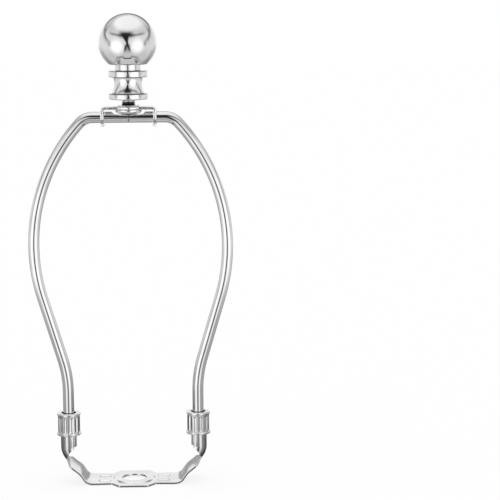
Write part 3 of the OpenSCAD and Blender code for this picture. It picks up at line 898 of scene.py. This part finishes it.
def clipEar(columns, topHeight):
    # rows from the wire's hole outward, each going round from one tip of the slit to the other
    c = clip
    tip, shoulder = c["wireHeight"] - c["tipDrop"], c["wireHeight"] - c["shoulder"]
    slantY, slantZ = c["halfWidth"] - c["tipHalf"], shoulder - tip
    slantSize = math.hypot(slantY, slantZ)
    half = [(y, tip) for y in between(c["slitHalf"], c["tipHalf"], c["tipCells"])[:-1]]
    half += zip(between(c["tipHalf"], c["halfWidth"], c["sideCells"])[:-1],
                between(tip, shoulder, c["sideCells"])[:-1])
    half += [(c["halfWidth"], z) for z in between(shoulder, topHeight, c["sideCells"])[:-1]]
    border = half + [(y, topHeight) for y in reversed(columns)] + [(-y, z) for y, z in reversed(half)]

    def toEdge(y, z):
        places = [math.hypot(y, z - c["wireHeight"]) - c["wireHole"], c["halfWidth"] - abs(y),
                  ((z - tip) * slantY - (abs(y) - c["tipHalf"]) * slantZ) / slantSize, z - tip]
        if z < c["wireHeight"]:
            places.append(abs(y) - c["slitHalf"])
        return max(min(places), 0)

    # rows lie closer together at the hole and at the outline
    even = between(0, 1, c["earRows"])[1:-1]
    shares = [0] + [smoothStep(share, -0.12, 1.12) * 1.06 - 0.03 for share in even] + [1]
    rows = []
    for share in shares:
        row = []
        for y, z in border:
            reach = math.hypot(y, z - c["wireHeight"])
            scale = (c["wireHole"] + (reach - c["wireHole"]) * share) / reach
            row.append((y * scale, c["wireHeight"] + (z - c["wireHeight"]) * scale))
        rows += [(y, z, edgeThickness(c["thickness"] / 2, c["edgeRound"], toEdge(y, z))) for y, z in row]
    return rows, gridFaces(len(shares), len(border))


def clipTab(side, prong):
    c = clip
    width = c["tipHalf"] - c["slitHalf"]
    centre = Vector((side * (c["halfLength"] - c["thickness"] / 2),
                     prong * (c["tipHalf"] + c["slitHalf"]) / 2, c["wireHeight"] - c["tipDrop"]))
    turn = Matrix.Rotation(-side * prong * c["tabTwist"], 3, "Z") \
        @ Matrix.Rotation(side * (c["tabLean"] + prong * c["tabSpread"]), 3, "Y")
    columns = acrossSheet(-width / 2, width / 2, c["tabCells"], tabEdges)
    places = between(c["tabRoot"], tabEdges[-1] - c["tabLength"], c["tabCells"])[:-1]
    places += [e - c["tabLength"] for e in reversed(tabEdges)]
    points = []
    for z in places:
        for y in columns:
            toEdge = min(width / 2 - abs(y), z + c["tabLength"])
            t = edgeThickness(c["tabThickness"] / 2, c["tabRound"], max(toEdge, 0))
            points.append((*(centre + turn @ Vector((0, y, z))), *(turn @ Vector((side, 0, 0))), t, t))
    return points, gridFaces(len(places), len(columns))


def makeClip():
    c = clip
    half = c["thickness"] / 2
    level = nodeRange("swivel_clip", 2)[1] - c["collarHeight"] - half
    foldRadius = c["fold"] - half
    columns = acrossSheet(-c["halfWidth"], c["halfWidth"], c["cells"], fineEdges)
    points, faces = clipPlate(level, columns)
    strap = followPath((c["patchHalf"], level, 0, 0),
                       [(c["halfLength"] - c["fold"] - c["patchHalf"], 0),
                        (foldRadius * math.pi / 2, -foldRadius)], c["strapPitch"])
    ear, earFaces = clipEar(columns, level - foldRadius)

    for side in (1, -1):
        rows = []
        for x, z, slope, run in strap:
            for y in columns:
                t = edgeThickness(half, c["edgeRound"], c["halfWidth"] - abs(y))
                rows.append((side * x, y, z, -side * math.sin(slope), 0, math.cos(slope), t, t))
        addPart(points, faces, rows, gridFaces(len(strap), len(columns)), side > 0)
        place = side * (c["halfLength"] - half)
        earPoints = [(place, y, z, side, 0, 0, t, t) for y, z, t in ear]
        addPart(points, faces, earPoints, earFaces, side > 0)
        for prong in (1, -1):
            addPart(points, faces, *clipTab(side, prong), side < 0)
    points, faces = thicken(points, faces)
    piece = newPiece("folded_clip", points, faces, "bow", clipMetal, ["swivel_clip"])
    weightNormals(piece)


makeClip()
print("clip folded")


# Camera at the photograph's viewpoint

camera = {
    "place": (0.032, -0.8, 0.2284), "pitch": math.radians(8.7), "yaw": math.radians(1.54),
    "roll": math.radians(-0.362), "focal": 1800, "imageWidth": 500, "sensor": 36,
}


def makeCamera():
    c = camera
    data = bpy.data.cameras.new("photo camera")
    data.sensor_width = c["sensor"]
    data.lens = c["focal"] / c["imageWidth"] * c["sensor"]
    data.clip_start = 0.01
    data.clip_end = 50
    view = bpy.data.objects.new("photo camera", data)
    bpy.context.collection.objects.link(view)
    view.matrix_world = Matrix.Translation(c["place"]) @ Matrix.Rotation(-c["yaw"], 4, "Z") \
        @ Matrix.Rotation(math.pi / 2 - c["pitch"], 4, "X") @ Matrix.Rotation(c["roll"], 4, "Z")
    bpy.context.scene.camera = view
    bpy.context.scene.view_settings.view_transform = "Standard"


makeCamera()


# Floor and world, in metres

studio = {"floorSize": 8, "floorDrop": 0.00005, "floorTone": (0.98, 0.98, 0.98), "floorGlow": 0.8,
          "worldStrength": 1.0}


def flatMesh(name, corners):
    mesh = bpy.data.meshes.new(name)
    mesh.from_pydata(corners, [], [(0, 1, 2, 3)])
    return mesh


def addGlow(tree, strength):
    return addNode(tree, "ShaderNodeEmission", {"Color": (1, 1, 1, 1), "Strength": strength})


def setSurface(tree, surface):
    tree.links.new(surface, tree.nodes["Material Output"].inputs["Surface"])


def mixSurface(tree, share, first, second):
    setSurface(tree, addNode(tree, "ShaderNodeMixShader", {0: share, 1: first, 2: second}))


def makeFloor():
    half = studio["floorSize"] / 2
    corners = [(-half, -half, 0), (half, -half, 0), (half, half, 0), (-half, half, 0)]
    floor = bpy.data.objects.new("floor", flatMesh("floor", corners))
    bpy.context.collection.objects.link(floor)
    floor.location.z = -studio["floorDrop"]
    material, tree, shader = newMaterial("pale floor")
    shader.inputs["Base Color"].default_value = (*studio["floorTone"], 1)
    shader.inputs["Roughness"].default_value = 1
    shader.inputs["Specular IOR Level"].default_value = 0
    # the camera sees the floor whiter than it is, so only part of the object's shadow stays
    cameraRay = addNode(tree, "ShaderNodeLightPath", {}, "Is Camera Ray")
    share = addMath(tree, "MULTIPLY", cameraRay, studio["floorGlow"])
    mixSurface(tree, share, shader.outputs[0], addGlow(tree, 1))
    floor.data.materials.append(material)
    floor.visible_glossy = False


def makeWorld():
    world = bpy.data.worlds.new("studio")
    bpy.context.scene.world = world
    world.use_nodes = True
    background = world.node_tree.nodes["Background"]
    background.inputs["Color"].default_value = (1, 1, 1, 1)
    background.inputs["Strength"].default_value = studio["worldStrength"]


makeFloor()
makeWorld()
print("floor and world set")


# The light tent, a sphere that only the metal's reflections see. Its patches are painted in turn.
# Angles are in degrees: azimuth from the front to +X, aside and behind its distance from the front
# and the back. Two limits fade out between them, three are [low, high, softness] of a window, and
# four fade in and then out. Two tones change from one to the other over toneEdge's elevations.

tent = {
    "radius": 0.7, "centre": (0, 0, 0.19), "shadeAzimuth": -3, "postLean": 38, "postLeanEdge": (0, 30),
    "leftLight": (-42, -14), "rightLight": (42, -11), "slitAzimuth": 1, "slitLean": 0.25,
    "slitWidth": (5, 16), "slitEdge": (0, 30), "strutStart": -2, "strutSpread": 0.4,
}
tentPatches = [
    {"name": "ground and sides", "tone": (0.62, 0.78), "toneEdge": (-40, -8)},
    {"name": "sky", "tone": 0.87, "elevation": (8, 45, 90, 91)},
    {"name": "ground behind", "tone": 0.28, "behind": (40, 75), "elevation": (-80, -15, 6)},
    {"name": "edge behind", "tone": 0.5, "behind": (30, 60), "elevation": (-25, -7, 3)},
    {"name": "bright back", "tone": 1, "behind": (30, 50), "elevation": (-3, 22, 3)},
    {"name": "band behind", "tone": 0.1, "behind": (60, 85), "elevation": (23, 40, 6)},
    {"name": "ceiling", "tone": (0.7, 1.03), "toneEdge": (38, 62), "overX": (1.45, 1.8),
     "overY": (-1, 1.35, 0.15)},
    {"name": "shade at the left", "tone": 0.6, "azimuth": (-95, -45), "elevation": (36, 50, 9)},
    {"name": "line under the shade", "tone": 0.3, "aside": (60, 110), "elevation": (25, 33, 4)},
    {"name": "shade above", "tone": 0.04, "toShade": (14, 48), "elevation": (22, 43, 8)},
    {"name": "posts", "tone": 0.25, "toPost": (66, 76, 78, 108), "elevation": (4, 34, 14)},
    {"name": "left light", "tone": 1.3, "toLeftLight": (5, 40)},
    {"name": "right light", "tone": 1.3, "toRightLight": (5, 40)},
    {"name": "low patch", "tone": 0.3, "toMiddle": (6, 16), "elevation": (-44, -20, -11, 0)},
    {"name": "low struts", "tone": 0.06, "toStrut": (1.5, 7), "elevation": (-44, -20, -11, 0)},
    {"name": "feet of the posts", "tone": 0.45, "aside": (68, 80, 3), "elevation": (-10, 6, 6)},
    {"name": "slit", "tone": 0.02, "acrossSlit": (0.5, 1.3), "elevation": (-12, 34, 8)},
    {"name": "line in front", "tone": 0.3, "aside": (20, 70, 6), "elevation": (-57, -50, 3)},
]


def angleFrom(tree, direction, azimuth, elevation):
    turn, tilt = math.radians(azimuth), math.radians(elevation)
    axis = (math.cos(tilt) * math.sin(turn), -math.cos(tilt) * math.cos(turn), math.sin(tilt))
    level = addNode(tree, "ShaderNodeVectorMath", {0: direction, 1: axis}, "Value", "DOT_PRODUCT")
    return addMath(tree, "MULTIPLY", addMath(tree, "ARCCOSINE", level), 180 / math.pi)


def tentMeasures(tree):
    # what the patches are placed by, worked out from the direction as seen from the tent's centre
    t = tent
    direction = addNode(tree, "ShaderNodeVectorMath", {0: objectPlace(tree)}, 0, "NORMALIZE")
    x, y, z = splitAxes(tree, direction)

    def calc(operation, *items):
        return addMath(tree, operation, *items)

    azimuth = calc("MULTIPLY", calc("ARCTAN2", x, calc("MULTIPLY", y, -1)), 180 / math.pi)
    elevation = calc("MULTIPLY", calc("ARCSINE", z), 180 / math.pi)
    aside = calc("ABSOLUTE", azimuth)
    height = calc("MAXIMUM", z, 0.01)
    leaning = calc("ADD", azimuth, calc("MULTIPLY", elevation, t["slitLean"]))
    toSlit = calc("ABSOLUTE", calc("SUBTRACT", leaning, t["slitAzimuth"]))
    toMiddle = calc("ABSOLUTE", calc("SUBTRACT", azimuth, t["slitAzimuth"]))
    below = calc("MINIMUM", calc("SUBTRACT", elevation, t["strutStart"]), 0)
    spread = calc("MULTIPLY", below, -t["strutSpread"])
    return {
        "azimuth": azimuth, "elevation": elevation, "aside": aside, "toMiddle": toMiddle,
        "behind": calc("SUBTRACT", 180, aside),
        "overX": calc("DIVIDE", calc("ABSOLUTE", x), height), "overY": calc("DIVIDE", y, height),
        "toShade": calc("ABSOLUTE", calc("SUBTRACT", azimuth, t["shadeAzimuth"])),
        "toPost": calc("SUBTRACT", aside, addStep(tree, elevation, *t["postLeanEdge"], 0, t["postLean"])),
        "toLeftLight": angleFrom(tree, direction, *t["leftLight"]),
        "toRightLight": angleFrom(tree, direction, *t["rightLight"]),
        "toStrut": calc("ABSOLUTE", calc("SUBTRACT", toMiddle, spread)),
        "acrossSlit": calc("DIVIDE", toSlit, addStep(tree, elevation, *t["slitEdge"], *t["slitWidth"])),
    }


def limitMask(tree, value, limits):
    if len(limits) == 2:
        return addStep(tree, value, *limits, 1, 0)
    if len(limits) == 3:
        low, high, soft = limits
        limits = (low - soft, low + soft, high - soft, high + soft)
    rising = addStep(tree, value, *limits[:2])
    return addMath(tree, "MULTIPLY", rising, addStep(tree, value, *limits[2:], 1, 0))


def paintPatch(tree, under, patch, measures):
    tone = patch["tone"]
    if "toneEdge" in patch:
        tone = addStep(tree, measures["elevation"], *patch["toneEdge"], *tone)
    mask = None
    for name, value in measures.items():
        if name in patch:
            part = limitMask(tree, value, patch[name])
            mask = addMath(tree, "MULTIPLY", mask, part) if mask else part
    return addMix(tree, mask, under, tone) if mask else tone


def showInReflections(thing):
    # neither the camera nor the floor sees it
    thing.visible_camera = False
    thing.visible_diffuse = False
    thing.visible_shadow = False


def makeTent():
    bpy.ops.mesh.primitive_uv_sphere_add(segments=64, ring_count=32, radius=tent["radius"],
                                         location=tent["centre"])
    sphere = bpy.context.active_object
    sphere.name = "light_tent"
    sphere.visible_transmission = False
    material, tree, shader = newMaterial("light tent")
    tree.nodes.remove(shader)
    measures = tentMeasures(tree)
    value = None
    for patch in tentPatches:
        value = paintPatch(tree, value, patch, measures)
    setSurface(tree, addGlow(tree, value))
    sphere.data.materials.append(material)
    showInReflections(sphere)


makeTent()
print("light tent painted")


# Cards near the object, for its reflections alone. A fade is [axis, solid at, clear at].

sideCards = {
    "side_flag": {"away": 0.1, "depth": (-0.1, 0.13), "height": (-0.06, 0.08), "tone": 0.42,
                  "fades": [(2, 0.03, 0.08), (1, -0.05, -0.1), (1, 0.08, 0.13)]},
    "low_flag": {"away": 0.095, "depth": (-0.1, 0.1), "height": (-0.06, 0.02), "tone": 0.1,
                 "fades": [(2, -0.005, 0.02), (1, 0.04, -0.09)]},
}
crossCards = {
    "back_card": {"depth": 0.35, "halfWidth": 0.14, "height": (0.055, 0.16), "tone": 0.88},
    "back_card_foot": {"depth": 0.352, "halfWidth": 0.14, "height": (-0.03, 0.075), "tone": 0.35},
    "low_sill": {"depth": -0.13, "halfWidth": 0.07, "height": (-0.08, -0.02), "tone": 0.06},
}


def makeCardMaterial(name, card):
    material, tree, shader = newMaterial(name)
    tree.nodes.remove(shader)
    axes = splitAxes(tree, objectPlace(tree))
    thin = 0
    for axis, solid, gone in card.get("fades", ()):
        thin = addMath(tree, "MAXIMUM", thin, addStep(tree, axes[axis], solid, gone))
    mixSurface(tree, thin, addGlow(tree, card["tone"]), addNode(tree, "ShaderNodeBsdfTransparent", {}))
    return material


def makeCard(name, corners, material):
    card = bpy.data.objects.new(name, flatMesh(name, corners))
    bpy.context.collection.objects.link(card)
    card.data.materials.append(material)
    showInReflections(card)


for name, card in sideCards.items():
    material = makeCardMaterial(name, card)
    (front, back), (low, high) = card["depth"], card["height"]
    for label, x in (("_left", -card["away"]), ("_right", card["away"])):
        makeCard(name + label, [(x, front, low), (x, back, low), (x, back, high), (x, front, high)],
                 material)
for name, card in crossCards.items():
    half, y, (low, high) = card["halfWidth"], card["depth"], card["height"]
    makeCard(name, [(-half, y, low), (half, y, low), (half, y, high), (-half, y, high)],
             makeCardMaterial(name, card))
print("cards set")
